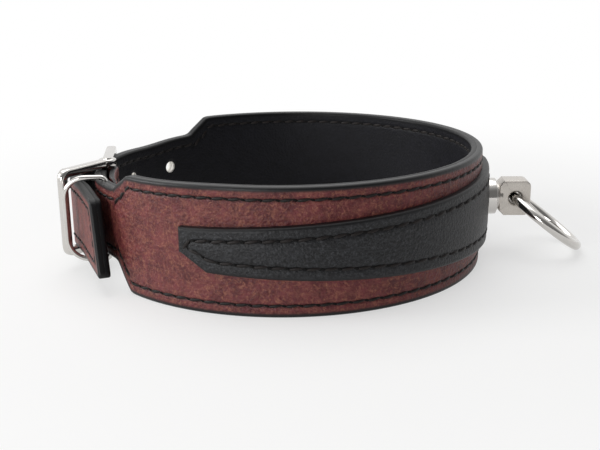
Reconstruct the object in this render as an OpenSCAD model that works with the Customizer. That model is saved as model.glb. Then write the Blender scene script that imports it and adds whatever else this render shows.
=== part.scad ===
/* [Leather band] */
// Inner radius of the lining, half of the neck opening
neck_radius = 64; // [54:0.5:90]
// Height of the wide band
band_width = 40; // [34:1:60]
// Height of the narrow strap at both ends
strap_width = 24; // [18:1:28]
// Thickness of the brown outer leather
outer_thickness = 2.2; // [1.8:0.1:3]
// Thickness of the black lining leather
lining_thickness = 1.8; // [1.5:0.1:2.5]
// Angle at which the wide band ends on the buckle side
near_end_angle = -136.5; // [-140:0.5:-120]
// Angle at which the wide band ends on the strap side
far_end_angle = 123.5; // [110:0.5:125]

/* [Overlay panel] */
// Thickness of the black overlay leather
overlay_thickness = 2.8; // [2:0.1:4]
// Half angle that the overlay covers either side of the swivel
overlay_angle = 116.1; // [90:0.1:118]
// Half height of the overlay at the swivel
overlay_half_middle = 13.7; // [10:0.1:16]
// Half height of the overlay at its ends
overlay_half_end = 6.4; // [5:0.1:9]
// Height of the middle of the overlay over the middle of the band
overlay_rise = 0.6; // [0:0.05:3]
// Length of the slanting cut at the lower corner of each end
overlay_cut_length = 8.8; // [4:0.1:14]
// Height left square at each end of the overlay
overlay_square_height = 7.5; // [4:0.1:10]

/* [Strap tail] */
// Length of the flat run that crosses the folded end
run_length = 22.5; // [21:0.1:34]
// Inner radius of the bend under the near bar of the buckle
bend_radius = 28; // [24:0.5:50]
// Angle of that bend
bend_angle = 42; // [30:0.5:50]
// Length of strap from the bend to the upper corner of the tip
tip_length = 21.5; // [14:0.5:40]
// How much longer the lower corner of the tip is than the upper
tip_slant = 6.5; // [0:0.5:8]

/* [Strap holes] */
// Diameter of the punched holes
hole_diameter = 4.5; // [3.8:0.1:6]
// Distance between the holes
hole_spacing = 23; // [15:0.5:25]
// Length to which the prong has pulled the hole in use
hole_length = 7.4; // [6.5:0.1:9]

/* [Buckle] */
// Angle of the centre bar round the collar
bar_angle = 183.5; // [176:0.5:186]
// Diameter of the centre bar
bar_diameter = 3; // [2.5:0.1:4]
// Radius of the boss that holds the centre bar
boss_radius = 3.2; // [2.6:0.1:4]
// Width of the side of the frame, seen from above
side_width = 3.7; // [3:0.1:5]
// Thickness of each side of the frame
side_thickness = 2.8; // [2:0.1:4]
// Radius of the two end bars
end_bar_radius = 1.75; // [1.4:0.05:2.2]
// Angle along the bend at which the near bar lies
near_bar_angle = 37.5; // [20:0.5:40]
// Thickness of the prong
prong_thickness = 2.6; // [2:0.1:2.8]
// Length of the straight end of the prong, from its curve to the toe bar
prong_straight = 7.4; // [0:0.1:12]
// Width of the prong
prong_width = 3; // [2.4:0.1:3.4]
// Radius of the prong eye
eye_radius = 2.8; // [2.4:0.1:3.4]

/* [Keeper] */
// Angle of the keeper loop round the collar
keeper_angle = 205.5; // [203:0.5:207]
// Direction in which the keeper loop stands out
keeper_direction = 184; // [180:0.5:200]
// Depth of the loop between the middles of its legs
keeper_depth = 13.9; // [12:0.1:16]
// Diameter of the keeper wire
keeper_wire = 1.7; // [1.4:0.1:2]
// Radius of the outer corners of the loop
keeper_corner = 7; // [3:0.1:8]
// Radius of the inner corners of the loop
keeper_inner_corner = 1.9; // [1.5:0.1:2]

/* [Swivel] */
// Diameter of the fixed flange on the overlay
flange_diameter = 13; // [11:0.5:15]
// Thickness of the fixed flange
flange_thickness = 3.6; // [2:0.1:4]
// Depth of the flat seat of the flange in the overlay
seat_depth = 0.3; // [0.2:0.05:0.8]
// Thickness of the wear washer
washer_thickness = 0.5; // [0.4:0.1:1.5]
// Diameter of the post
post_diameter = 4.8; // [4:0.1:5.5]
// Diameter of the flat head of the post between the leathers
post_head_diameter = 16; // [12:0.5:18]
// Thickness of the flat head of the post
post_head_thickness = 1.1; // [0.8:0.05:1.3]
// Length of the swivel head
head_length = 11; // [10.5:0.1:16]
// Height of the swivel head
head_height = 12.5; // [12:0.1:18]
// Thickness of the swivel head
head_thickness = 8; // [7:0.1:10]
// Chamfer of the swivel head beside the neck
head_chamfer = 1.7; // [1:0.1:2]
// Rounding of the far corners of the swivel head
head_round = 2.2; // [1:0.1:3]

/* [Leash ring] */
// Outside diameter of the ring
ring_diameter = 32.65; // [26:0.05:45]
// Diameter of the ring wire
ring_wire = 3.35; // [2.5:0.05:4]
// Angle of the ring below level
ring_droop = 37.5; // [0:0.5:40]

/* [Clearances] */
// Gap round a pin that turns
pin_clearance = 0.06; // [0.02:0.01:0.1]
// Gap between the strap and the toe bar of the buckle
strap_clearance = 0.85; // [0.6:0.05:1.2]
// Gap between the tail and the near bar of the buckle
near_clearance = 2.8; // [0.6:0.05:4]
// Gap between the edges of the strap and the sides of the buckle
side_clearance = 0.4; // [0.3:0.05:0.8]
// Gap between the folded end and the strap over it
fold_clearance = 0.5; // [0.3:0.1:2]
// Gap between the prong and the bar on which it lies
prong_clearance = 0.3; // [0.3:0.05:0.6]
// Gap beside the prong in the slot of the fold
slot_clearance = 1; // [0.4:0.1:1.5]
// Gap between the edges of the strap and the keeper
keeper_clearance = 1.15; // [0.8:0.05:2]
// Gap round the ring wire in the hole of the swivel head
ring_clearance = 0.25; // [0.2:0.05:0.5]
// Gap between the turning and the fixed faces of the swivel
swivel_gap = 0.1; // [0.05:0.05:0.3]

/* [Hidden] */
$fn = 64;

far_away = 200;
mid_z = band_width / 2;
strap_z = mid_z - strap_width / 2;
shoulder = (band_width - strap_width) / 2;
shoulder_step = 0.2;

// The seam is the face where the outer leather meets the lining
seam_radius = neck_radius + lining_thickness;
outer_radius = seam_radius + outer_thickness;
overlay_radius = outer_radius + overlay_thickness;
band_thickness = outer_thickness + lining_thickness;

// Upper edge of the overlay: it tapers evenly along the leather from the swivel to the end
overlay_steps = 8;
overlay_z = mid_z + overlay_rise;
overlay_taper = overlay_half_middle - overlay_half_end;
overlay_rim = [for (i = [0:overlay_steps]) overlay_point(i / overlay_steps)];
overlay_rim_start = 4 * overlay_rim[0] - 3 * overlay_rim[1];
overlay_rim_end = 4 * overlay_rim[overlay_steps] - 3 * overlay_rim[overlay_steps - 1];

// Folded end: the outer leather turns round the centre bar and comes back inside
bar_radius = bar_diameter / 2;
bore_radius = bar_radius + pin_clearance;
nose_radius = bore_radius + outer_thickness;
bar_distance = seam_radius - bore_radius;
bar_place = polar(bar_distance, bar_angle);
return_start = bar_distance - bore_radius;
// How much flatter the turned-back end is than the neck
return_ease = 21;
return_radius = neck_radius + return_ease;
return_shift = return_radius - return_start;
return_polar = acos((pow(return_radius, 2) - pow(neck_radius, 2) - pow(return_shift, 2))
    / (2 * neck_radius * return_shift));
return_centre = polar(-return_shift, bar_angle);
return_sweep = atan2(neck_radius * sin(return_polar), neck_radius * cos(return_polar) + return_shift);
// How far behind the bar the lining starts
lining_setback = 4.5;
lining_start = bar_angle + lining_setback / seam_radius * 180 / PI;

// Strap tail: from leave_angle it runs flat over the fold, x square to the run and y along it
leave_angle = bar_angle - acos((neck_radius - nose_radius - fold_clearance) / bar_distance);
bar_x = bar_distance * cos(bar_angle - leave_angle);
bar_y = bar_distance * sin(bar_angle - leave_angle);
bend_x = neck_radius - bend_radius;
bend_centre = polar(bend_x, leave_angle) + polar(run_length, leave_angle + 90);
tip_turn = leave_angle + bend_angle;
strap_side = [
    polar(neck_radius / 2, far_end_angle) + polar(shoulder - shoulder_step, far_end_angle + 90),
    polar(far_away, far_end_angle) + polar(shoulder - shoulder_step, far_end_angle + 90),
    polar(far_away, (far_end_angle + near_end_angle) / 2 + 180),
    polar(far_away, near_end_angle) + polar(shoulder - shoulder_step, near_end_angle - 90),
    polar(neck_radius / 2, near_end_angle) + polar(shoulder - shoulder_step, near_end_angle - 90)
];
circle_steps = 170;
bend_steps = 24;

// Prong and end bars of the buckle, in the axes of the flat run
toe_x = outer_radius + strap_clearance + end_bar_radius;
prong_radius = toe_x + end_bar_radius + prong_clearance + prong_thickness / 2 - bar_x;
prong_foot = bar_y - prong_radius;
toe_y = prong_foot - prong_straight;
near_reach = bend_radius + band_thickness + near_clearance + end_bar_radius;
near_x = bend_x + near_reach * cos(near_bar_angle);
near_y = run_length + near_reach * sin(near_bar_angle);
side_z = strap_width / 2 + side_clearance;
frame_height = 2 * (side_z + side_thickness);
bar_stub = 0.3;
// How far the prong has pulled the hole in use towards the toe
hole_pull = 0.55;
strap_middle = neck_radius + band_thickness / 2;
hole_y = prong_foot + sqrt(pow(prong_radius, 2) - pow(strap_middle - bar_x, 2)) - hole_pull;
slot_height = prong_width + 2 * slot_clearance;

// Keeper: its inner leg lies between the two leathers
keeper_leg = keeper_wire / 2;
keeper_half = strap_width / 2 + keeper_clearance + keeper_leg;

// Swivel, along the X axis from the leather outwards
post_radius = post_diameter / 2;
post_seat = 0.05;
post_head_start = seam_radius + post_seat;
post_head_end = post_head_start + post_head_thickness;
flange_seat = overlay_radius - seat_depth;
flange_end = flange_seat + flange_thickness;
washer_end = flange_end + washer_thickness;
washer_wall = 2.8;
washer_radius = post_radius + washer_wall;
collar_start = washer_end + swivel_gap;
collar_rim = 0.3;
collar_depth = 1.3;
collar_wall = 2;
head_start = collar_start + collar_rim;
collar_end = head_start + collar_depth;
collar_radius = post_radius + collar_wall;
button_start = collar_end + swivel_gap;
button_thickness = 1.3;
button_wall = 1.2;
button_end = button_start + button_thickness;
button_radius = post_radius + button_wall;
cavity_end = button_end + swivel_gap;
head_end = head_start + head_length;

// Leash ring: its hole leaves room for the bow of the wire
ring_radius = (ring_diameter - ring_wire) / 2;
ring_bow = ring_radius - sqrt(pow(ring_radius, 2) - pow(head_thickness / 2, 2));
ring_hole_radius = ring_wire / 2 + ring_bow / 2 + ring_clearance;
ring_wall = 0.7;
ring_pin_x = cavity_end + ring_wall + ring_hole_radius;
ring_offset = ring_radius - ring_bow / 2;

brown = "#5d3029";
black = "#232325";
steel = "#b9bab8";
satin = "#8f8d88";

function polar(r, a) = [r * cos(a), r * sin(a)];

// Points of an arc round the centre c, from angle a0 by n steps; whole says if the last point is kept
function arc_points(c, r, a0, a1, n, whole = true) =
    [for (i = [0:whole ? n : n - 1]) c + polar(r, a0 + (a1 - a0) * i / n)];

// Point of the overlay's upper edge at a share t of its half length, seen from the side
function overlay_point(t) =
    [overlay_radius * cos(overlay_angle * t), overlay_half_middle - overlay_taper * t];

function reversed(points) = [for (i = [len(points) - 1:-1:0]) points[i]];

// Line of the strap, d out from the inner face, from angle a0 round the collar, over the fold and to the tip
function strap_line(a0, d) = concat(
    arc_points([0, 0], neck_radius + d, a0, leave_angle + 360, circle_steps),
    arc_points(bend_centre, bend_radius + d, leave_angle, tip_turn, bend_steps),
    [bend_centre + polar(bend_radius + d, tip_turn) + polar(tip_length + tip_slant, tip_turn + 90)]);

// Line of the folded end, o out from the face that lies on the centre bar, up to the start of the strap
function fold_line(o) = concat(
    arc_points(return_centre, return_radius - o, bar_angle + return_sweep, bar_angle, bend_steps, false),
    arc_points(bar_place, bore_radius + o, bar_angle - 180, bar_angle, bend_steps, false));

// Strip bent round the Z axis from angle a0 to a1, t thick from radius r, from height z0 to z1
module bent(a0, a1, r, t, z0, z1) {
    rotate(a0)
        rotate_extrude(angle = a1 - a0)
            translate([r, z0])
                square([t, z1 - z0]);
}

// Places children in the axes of the flat run of the strap
module at_run() {
    rotate(leave_angle)
        children();
}

// A strip of leather that stands on its edge, with the given plan, cut to its outline
module leather_layer(plan) {
    difference() {
        difference() {
            linear_extrude(band_width)
                polygon(plan);
            for (z = [-1, strap_z + strap_width])
                translate([0, 0, z])
                    linear_extrude(shoulder + 1)
                        polygon(strap_side);
        }
        shoulder_cuts();
        tip_cut();
        strap_holes();
        keeper_channel();
    }
}

// Slanting end of the strap, longest at its lower edge
module tip_cut() {
    translate(bend_centre)
        rotate(tip_turn)
            translate([bend_radius - 1, tip_length + tip_slant, strap_z])
                rotate([atan2(tip_slant, strap_width), 0, 0])
                    translate([0, 0, -strap_width])
                        cube([band_thickness + 2, strap_width, 3 * strap_width]);
}

// Slanting shoulders from the wide band down to the strap, above and below
module shoulder_cuts() {
    for (top = [0, 1])
        translate([0, 0, top * band_width])
            mirror([0, 0, 1 - top]) {
                rotate(far_end_angle)
                    shoulder_cut();
                rotate(near_end_angle)
                    mirror([0, 1, 0])
                        shoulder_cut();
            }
}

module shoulder_cut() {
    more = 2;
    foot = shoulder - shoulder_step / 2;
    translate([neck_radius - more, 0, 0])
        rotate([90, 0, 90])
            linear_extrude(band_thickness + 2 * more)
                polygon([[-more, more], [foot, -foot], [foot + more, more - foot], [foot + more, more]]);
}

// The spare holes on the circle and the stretched hole in use
module strap_holes() {
    at_run()
        translate([neck_radius - 1, hole_y, mid_z])
            rotate([90, 0, 90])
                linear_extrude(band_thickness + 2) {
                    square([hole_length - hole_diameter, hole_diameter], center = true);
                    for (side = [-1, 1])
                        translate([side * (hole_length - hole_diameter) / 2, 0])
                            circle(d = hole_diameter);
                }
    for (i = [1, 2])
        rotate(leave_angle - (i * hole_spacing - hole_y) / seam_radius * 180 / PI)
            translate([neck_radius - 1, 0, mid_z])
                rotate([0, 90, 0])
                    cylinder(d = hole_diameter, h = band_thickness + 2);
}

// Channel between the two leathers for the inner leg of the keeper
module keeper_channel() {
    rotate(keeper_angle)
        translate([seam_radius, 0, strap_z - 1])
            cylinder(r = keeper_leg + pin_clearance, h = strap_width + 2);
}

// Slot in the fold where the prong turns on the centre bar
module prong_slot() {
    deep = nose_radius + 1;
    at_run()
        translate([bar_x - deep, bar_y - deep, mid_z - slot_height / 2])
            cube([2 * deep, 2 * deep, slot_height]);
}

// Pocket for the flat head of the post, with the hole for its shank
module post_pocket() {
    translate([0, 0, mid_z])
        rotate([0, 90, 0]) {
            translate([0, 0, neck_radius])
                cylinder(r = post_head_diameter / 2 + pin_clearance,
                    h = post_head_end + pin_clearance - neck_radius);
            cylinder(r = post_radius, h = overlay_radius + 1);
        }
}

module outer_leather() {
    inside = concat(fold_line(0), strap_line(bar_angle, lining_thickness));
    outside = concat(fold_line(outer_thickness), strap_line(bar_angle, band_thickness));
    color(brown)
        difference() {
            leather_layer(concat(inside, reversed(outside)));
            prong_slot();
            post_pocket();
        }
}

module lining_leather() {
    inside = strap_line(lining_start, 0);
    outside = strap_line(lining_start, lining_thickness);
    color(black)
        leather_layer(concat(inside, reversed(outside)));
}

module overlay_panel() {
    cut_top = overlay_half_end - overlay_square_height;
    cut_fall = (overlay_half_end + cut_top) / overlay_cut_length;
    more = 5;
    color(black)
        difference() {
            bent(-overlay_angle, overlay_angle, outer_radius, overlay_thickness,
                overlay_z - overlay_half_middle - more, overlay_z + overlay_half_middle + more);
            for (side = [0, 1])
                translate([0, 0, overlay_z])
                    mirror([0, 0, side])
                        rotate([90, 0, 0])
                            linear_extrude(far_away, center = true)
                                polygon(concat(
                                    [overlay_rim_start],
                                    [for (i = [1:overlay_steps - 1]) overlay_rim[i]],
                                    [overlay_rim_end, [-far_away, far_away], [far_away, far_away]]));
            for (end = [0, 1])
                mirror([0, end, 0])
                    rotate(overlay_angle)
                        translate([outer_radius - more, 0, overlay_z])
                            rotate([90, 0, 90])
                                linear_extrude(overlay_thickness + 2 * more)
                                    polygon([[more, cut_top + more * cut_fall], [more, -band_width],
                                        [-overlay_cut_length - more, -band_width],
                                        [-overlay_cut_length - more, cut_top
                                            - (overlay_cut_length + more) * cut_fall]]);
            post_pocket();
            translate([flange_seat, 0, mid_z])
                rotate([0, 90, 0])
                    cylinder(d = flange_diameter + 2 * pin_clearance, h = overlay_thickness);
        }
}

// Side of the frame between two points of its plan, w wide, with round ends
module link(a, b, w) {
    d = b - a;
    translate(a) {
        circle(d = w);
        rotate(atan2(d[1], d[0]))
            translate([0, -w / 2])
                square([norm(d), w]);
        translate(d)
            circle(d = w);
    }
}

module buckle_frame() {
    bar = [bar_x, bar_y];
    toe = [toe_x, toe_y];
    near = [near_x, near_y];
    color(steel)
        translate([0, 0, mid_z])
            at_run() {
                for (side = [0, 1])
                    mirror([0, 0, side])
                        translate([0, 0, side_z])
                            linear_extrude(side_thickness)
                                difference() {
                                    union() {
                                        link(near, bar, side_width);
                                        link(bar, toe, side_width);
                                        translate(bar)
                                            circle(boss_radius);
                                    }
                                    translate(bar)
                                        circle(bar_radius);
                                }
                for (place = [toe, near])
                    translate(place)
                        cylinder(r = end_bar_radius, h = frame_height - side_thickness, center = true);
            }
}

module centre_bar() {
    color(steel)
        at_run()
            translate([bar_x, bar_y, mid_z])
                cylinder(r = bar_radius, h = frame_height + 2 * bar_stub, center = true);
}

module buckle_prong() {
    color(steel)
        at_run()
            translate([0, 0, mid_z - prong_width / 2])
                difference() {
                    union() {
                        translate([bar_x, bar_y, 0])
                            cylinder(r = eye_radius, h = prong_width);
                        translate([bar_x, prong_foot, 0])
                            rotate_extrude(angle = 90)
                                translate([prong_radius - prong_thickness / 2, 0])
                                    square([prong_thickness, prong_width]);
                        translate([bar_x + prong_radius - prong_thickness / 2, toe_y, 0])
                            cube([prong_thickness, prong_straight, prong_width]);
                        translate([bar_x + prong_radius, toe_y, 0])
                            cylinder(d = prong_thickness, h = prong_width);
                    }
                    translate([bar_x, bar_y, -1])
                        cylinder(r = bore_radius, h = prong_width + 2);
                }
}

// Quarter bend of the keeper wire
module wire_corner(r) {
    rotate([90, 0, 0])
        rotate_extrude(angle = 90)
            translate([r, 0])
                circle(keeper_leg);
}

module keeper_loop() {
    top_length = keeper_depth - keeper_inner_corner - keeper_corner;
    color(steel)
        translate([0, 0, mid_z])
            rotate(keeper_angle)
                translate([seam_radius, 0, 0])
                    rotate(keeper_direction - keeper_angle) {
                        cylinder(r = keeper_leg, h = 2 * (keeper_half - keeper_inner_corner), center = true);
                        translate([keeper_depth, 0, 0])
                            cylinder(r = keeper_leg, h = 2 * (keeper_half - keeper_corner), center = true);
                        for (side = [0, 1])
                            mirror([0, 0, side]) {
                                translate([keeper_inner_corner, 0, keeper_half])
                                    rotate([0, 90, 0])
                                        cylinder(r = keeper_leg, h = top_length);
                                translate([keeper_depth - keeper_corner, 0, keeper_half - keeper_corner])
                                    wire_corner(keeper_corner);
                                translate([keeper_inner_corner, 0, keeper_half - keeper_inner_corner])
                                    rotate(180)
                                        wire_corner(keeper_inner_corner);
                            }
                    }
}

// Turned piece round the swivel axis, from x0 to x1, with a bore where one is given
module turned(x0, x1, r, bore = 0, bevel = 0) {
    translate([0, 0, mid_z])
        rotate([0, 90, 0])
            rotate_extrude()
                polygon([[bore, x0], [r - bevel, x0], [r, x0 + bevel],
                    [r, x1 - bevel], [r - bevel, x1], [bore, x1]]);
}

module swivel_post() {
    color(satin) {
        turned(post_head_start, post_head_end, post_head_diameter / 2);
        turned(post_head_end, button_start, post_radius);
        turned(button_start, button_end, button_radius);
    }
}

module swivel_flange() {
    color(satin)
        turned(flange_seat, flange_end, flange_diameter / 2, post_radius, 0.4);
}

module swivel_washer() {
    color(satin)
        turned(flange_end, washer_end, washer_radius, post_radius, 0.1);
}

module swivel_collar() {
    color(satin) {
        turned(collar_start, head_start, collar_radius + collar_rim, post_radius + pin_clearance);
        turned(head_start, collar_end, collar_radius, post_radius + pin_clearance);
    }
}

module swivel_head() {
    r = head_round;
    half = head_height / 2;
    color(satin)
        difference() {
            translate([0, 0, mid_z])
                rotate([90, 0, 0])
                    linear_extrude(head_thickness, center = true) {
                        polygon([[head_start, -half + head_chamfer], [head_start + head_chamfer, -half],
                            [head_end - r, -half], [head_end - r, half],
                            [head_start + head_chamfer, half], [head_start, half - head_chamfer]]);
                        translate([head_end - r, -half + r])
                            square([r, head_height - 2 * r]);
                        for (side = [-1, 1])
                            translate([head_end - r, side * (half - r)])
                                circle(r);
                    }
            translate([0, 0, mid_z])
                rotate([0, 90, 0])
                    cylinder(r = collar_radius, h = cavity_end);
            translate([ring_pin_x, 0, mid_z])
                rotate([90, 0, 0])
                    cylinder(r = ring_hole_radius, h = 2 * head_thickness, center = true);
        }
}

module leash_ring() {
    color(steel)
        translate([ring_pin_x, 0, mid_z])
            rotate([0, ring_droop, 0])
                translate([ring_offset, 0, 0])
                    rotate_extrude()
                        translate([ring_radius, 0])
                            circle(d = ring_wire);
}

outer_leather();
lining_leather();
overlay_panel();
buckle_frame();
centre_bar();
buckle_prong();
keeper_loop();
swivel_post();
swivel_flange();
swivel_washer();
swivel_collar();
swivel_head();
leash_ring();
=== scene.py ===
"""A lined leather collar with a buckle at the back and a swivel with a leash ring at the front.

Lengths are in metres. The loop stands on its edge on z = 0 round the Z axis, and the swivel points along +X.
Plan angles count from +X towards +Y.
"""
import bpy
import numpy as np
from bpy.props import FloatProperty, FloatVectorProperty, PointerProperty
from mathutils import Matrix


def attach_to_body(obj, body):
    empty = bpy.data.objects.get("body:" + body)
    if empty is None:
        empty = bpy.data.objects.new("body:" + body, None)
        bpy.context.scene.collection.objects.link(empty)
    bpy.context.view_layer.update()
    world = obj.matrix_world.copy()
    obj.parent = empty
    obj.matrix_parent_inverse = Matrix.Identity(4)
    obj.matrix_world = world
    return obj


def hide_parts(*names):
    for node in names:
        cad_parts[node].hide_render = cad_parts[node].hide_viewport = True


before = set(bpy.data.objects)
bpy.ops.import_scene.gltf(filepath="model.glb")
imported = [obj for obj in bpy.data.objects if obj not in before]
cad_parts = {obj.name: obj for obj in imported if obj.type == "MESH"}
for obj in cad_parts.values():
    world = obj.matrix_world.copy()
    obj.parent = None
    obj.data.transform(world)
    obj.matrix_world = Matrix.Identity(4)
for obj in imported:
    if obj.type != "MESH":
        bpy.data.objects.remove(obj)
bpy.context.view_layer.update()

bl_info = {
    "name": "Leather buckle collar",
    "version": (1, 0, 0),
    "blender": (4, 5, 0),
    "location": "3D View > Sidebar > Collar",
    "description": "Builds a lined leather collar with a buckle, a keeper, a swivel and a leash ring",
    "category": "Add Mesh",
}


def linear(hex_colour):
    """The linear RGB of an sRGB hex colour."""
    s = np.array([int(hex_colour[i:i + 2], 16) for i in (1, 3, 5)]) / 255
    return tuple(float(c) for c in np.where(s <= 0.04045, s / 12.92, ((s + 0.055) / 1.055) ** 2.4))


def length(name, description, default):
    """A property that is a length in metres."""
    return FloatProperty(name=name, description=description, default=default, unit="LENGTH", precision=5)


def angle(name, description, degrees):
    """A property that is an angle, given in degrees."""
    return FloatProperty(name=name, description=description, default=float(np.radians(degrees)), unit="ROTATION")


def colour(name, description, hex_colour):
    """A property that is a colour, given as sRGB hex."""
    return FloatVectorProperty(name=name, description=description, default=linear(hex_colour), subtype="COLOR",
                               min=0, max=1)


class CollarBand(bpy.types.PropertyGroup):
    """Sizes of the leathers."""
    neck_radius: length("Neck radius", "Inner radius of the loop", 0.064)
    lining: length("Lining", "Thickness of the lining leather", 0.0018)
    outer: length("Outer leather", "Thickness of the outer leather", 0.0022)
    band_width: length("Band width", "Height of the wide part", 0.040)
    strap_width: length("Strap width", "Height of the narrow part", 0.024)
    near_strap: angle("Near strap", "Where the narrow part meets the shoulder at the buckle end", 216.8)
    near_band: angle("Near band", "Where the wide part starts at the buckle end", 223.5)
    far_band: angle("Far band", "Where the wide part ends at the tail end", 123.5)
    far_strap: angle("Far strap", "Where the narrow part starts at the tail end", 130.2)
    lining_start: angle("Lining start", "Where the lining starts behind the fold", 187.4)
    edge_round: length("Edge rounding", "Radius of the burnished edges", 0.0009)
    groove: length("Groove", "Depth of the line in which the stitches lie", 0.00032)
    dip: length("Dip", "How far the upper edge comes down at the buckle end", 0.0011)


class CollarTail(bpy.types.PropertyGroup):
    """Sizes of the fold and the tail."""
    bar_angle: angle("Bar angle", "Where the centre bar is", 183.5)
    bar_reach: length("Bar reach", "Distance of the centre bar from the middle of the loop", 0.06424)
    nose: length("Nose", "Middle radius of the leather round the bar", 0.00266)
    turn_back: length("Turn-back radius", "Radius of the turned-back end's face", 0.085)
    turn_back_sweep: angle("Turn-back sweep", "How far the turned-back end runs", 17.0)
    leave: angle("Leave", "Where the tail leaves the loop", 161.93)
    run: length("Run", "Straight part of the tail", 0.0225)
    bend: length("Bend", "Inner radius of the bend in the tail", 0.028)
    bend_sweep: angle("Bend sweep", "How far the tail bends", 42)
    tip: length("Tip", "Straight end of the tail at its upper corner", 0.0215)
    tip_slant: length("Tip slant", "How much longer the lower corner is", 0.0085)
    droop: length("Droop", "How far the tip hangs down", 0.0022)
    lift: length("Lift", "How far the straps stand up beside the shoulders", 0.0013)
    spare_lift: length("Spare holes", "How far the spare holes stand above the middle of the strap", 0.0020)
    bulge: length("Bulge", "How far the tail bows out before the keeper", 0.0028)
    skive: length("Skive", "Thickness of the turned-back end at its edge", 0.0006)
    hole: length("Hole", "Diameter of the strap holes", 0.0045)
    hole_length: length("Hole in use", "Length of the stretched hole", 0.0074)
    hole_spacing: length("Hole spacing", "Distance between holes", 0.023)
    hole_place: length("Hole place", "Where the hole in use lies on the run", 0.02162)


class CollarOverlay(bpy.types.PropertyGroup):
    """Sizes of the overlay."""
    thickness: length("Thickness", "Thickness of the overlay", 0.0028)
    sweep: angle("Sweep", "Half the angle that the overlay covers", 116.1)
    half_middle: length("Half height", "Half height at the swivel", 0.0137)
    half_end: length("Half height at the ends", "Half height at the ends", 0.0064)
    rise: length("Rise", "Height of its middle over the middle of the band", 0.0006)
    square: length("Square end", "Height of the upright part of the end", 0.0075)
    cut: length("Cut", "How far the slanting part of the end runs along the overlay", 0.0088)
    crown: length("Crown", "How much the middle stands up between the stitch lines", 0.0003)


class CollarSewing(bpy.types.PropertyGroup):
    """Sizes of the saddle stitch."""
    pitch: length("Pitch", "Distance from stitch to stitch", 0.005)
    stitch: length("Stitch", "Length of a stitch", 0.0047)
    thread: length("Thread", "Width of the thread", 0.00125)
    inset: length("Inset", "Distance of the stitch line from the band's edge", 0.0038)
    overlay_inset: length("Overlay inset", "Distance of the stitch line from the overlay's edge", 0.0039)
    slit: length("Slit", "Length of an awl slit", 0.0022)
    lean: angle("Lean", "How far each stitch leans from the line", 10)


class CollarBuckle(bpy.types.PropertyGroup):
    """Sizes of the buckle and the keeper."""
    side_width: length("Side width", "Width of the side plates", 0.0037)
    side_thickness: length("Side thickness", "Thickness of the side plates", 0.0028)
    end_bar: length("End bar", "Radius of the end bars", 0.00175)
    upper: length("Upper side", "Height of the middle of the upper side", 0.0338)
    lower: length("Lower side", "Height of the middle of the lower side", 0.0062)
    boss: length("Boss", "Radius of the bosses on the centre bar", 0.0032)
    prong_thickness: length("Prong thickness", "Thickness of the prong", 0.0026)
    prong_width: length("Prong width", "Width of the prong", 0.003)
    eye: length("Prong eye", "Radius of the prong's eye", 0.0028)
    keeper_wire: length("Keeper wire", "Diameter of the keeper's wire", 0.0017)
    keeper_depth: length("Keeper depth", "Distance between the keeper's legs", 0.0139)
    keeper_direction: angle("Keeper direction", "Direction in which the keeper stands out", 184)


class CollarSwivel(bpy.types.PropertyGroup):
    """Sizes of the swivel and the ring."""
    flange: length("Flange", "Diameter of the flange", 0.013)
    head_length: length("Head length", "Length of the head", 0.011)
    head_height: length("Head height", "Height of the head", 0.0125)
    head_thickness: length("Head thickness", "Thickness of the head", 0.008)
    head_chamfer: length("Head chamfer", "Chamfer of the head at its neck", 0.0017)
    head_round: length("Head rounding", "Rounding of the head's far corners", 0.0022)
    edge: length("Edge", "Softening of the turned and filed edges", 0.00035)
    countersink: length("Countersink", "Softening of the rims of the cross hole", 0.0007)
    ring_radius: length("Ring radius", "Middle radius of the ring", 0.01465)
    ring_wire: length("Ring wire", "Diameter of the ring's wire", 0.00335)
    ring_droop: angle("Ring droop", "How far the ring hangs down", 37.5)


class CollarColours(bpy.types.PropertyGroup):
    """Colours of the materials."""
    brown: colour("Brown", "Outer leather", "#6b3133")
    brown_dark: colour("Dark brown", "Darker clouds of the outer leather", "#4b1b1f")
    brown_light: colour("Light brown", "Rubbed places of the outer leather", "#9b6651")
    black: colour("Black", "Overlay leather", "#111114")
    black_light: colour("Rubbed black", "Rubbed places of the overlay", "#4c4e52")
    lining: colour("Lining", "Lining leather", "#121217")
    lining_light: colour("Rubbed lining", "Rubbed places of the lining", "#26262d")
    edge: colour("Edge", "Burnished edges", "#0c0c0e")
    raw: colour("Raw edge", "Cut edge of the turned-back end", "#8d8270")
    # Painted light: near white, for the light that shows through the holes.
    hole: colour("Hole", "Walls of the punched holes", "#fffdf8")
    thread: colour("Thread", "Waxed thread", "#120e0d")
    steel: colour("Polished steel", "Buckle, keeper, flange and ring", "#d6d3cf")
    satin: colour("Satin steel", "Swivel head, post and collar", "#c8c2bb")
    floor: colour("Floor", "Floor", "#f9f9f8")


def sizes(group):
    """One of the collar's property groups on the scene."""
    return getattr(bpy.context.scene, "collar_" + group)


FULL = 2 * np.pi
X, Y, Z = np.eye(3)
MIDDLE = 0.020  # height of the middle of the strap and the swivel

# Places and sizes of the CAD model. Those of the end bars and the prong's centre are across and along the run of the
# tail, that of the keeper's foot is in plan, and those of the swivel are along +X.
NEAR_BAR = (0.06500, 0.04475)
TOE_BAR = (0.07060, 0.00201)
PRONG_CENTRE = (0.05974, 0.00941)
PRONG_RADIUS = 0.01421
PRONG_SWEEP = np.radians(78)
PRONG_STRAIGHT = 0.0087
PRONG_SLOT = (0.00952, 0.005)  # breadth and height of the slot in the fold
KEEPER_FOOT = np.array([-0.059390, -0.028328])
KEEPER_HEIGHTS = (0.006, 0.034)
KEEPER_CORNERS = (0.0019, 0.007, 0.007, 0.0019)
POST_RADIUS = 0.0026
FLANGE_FACES = (0.0705, 0.0741)
WASHER_FACES = (0.0741, 0.0746)
WASHER_RADIUS = 0.0052
HEAD_START = 0.0750
CROSS_HOLE = 0.080703
CROSS_HOLE_RADIUS = 0.002203
RING_REACH = 0.01437  # from the middle of the cross hole to the middle of the ring

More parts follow.
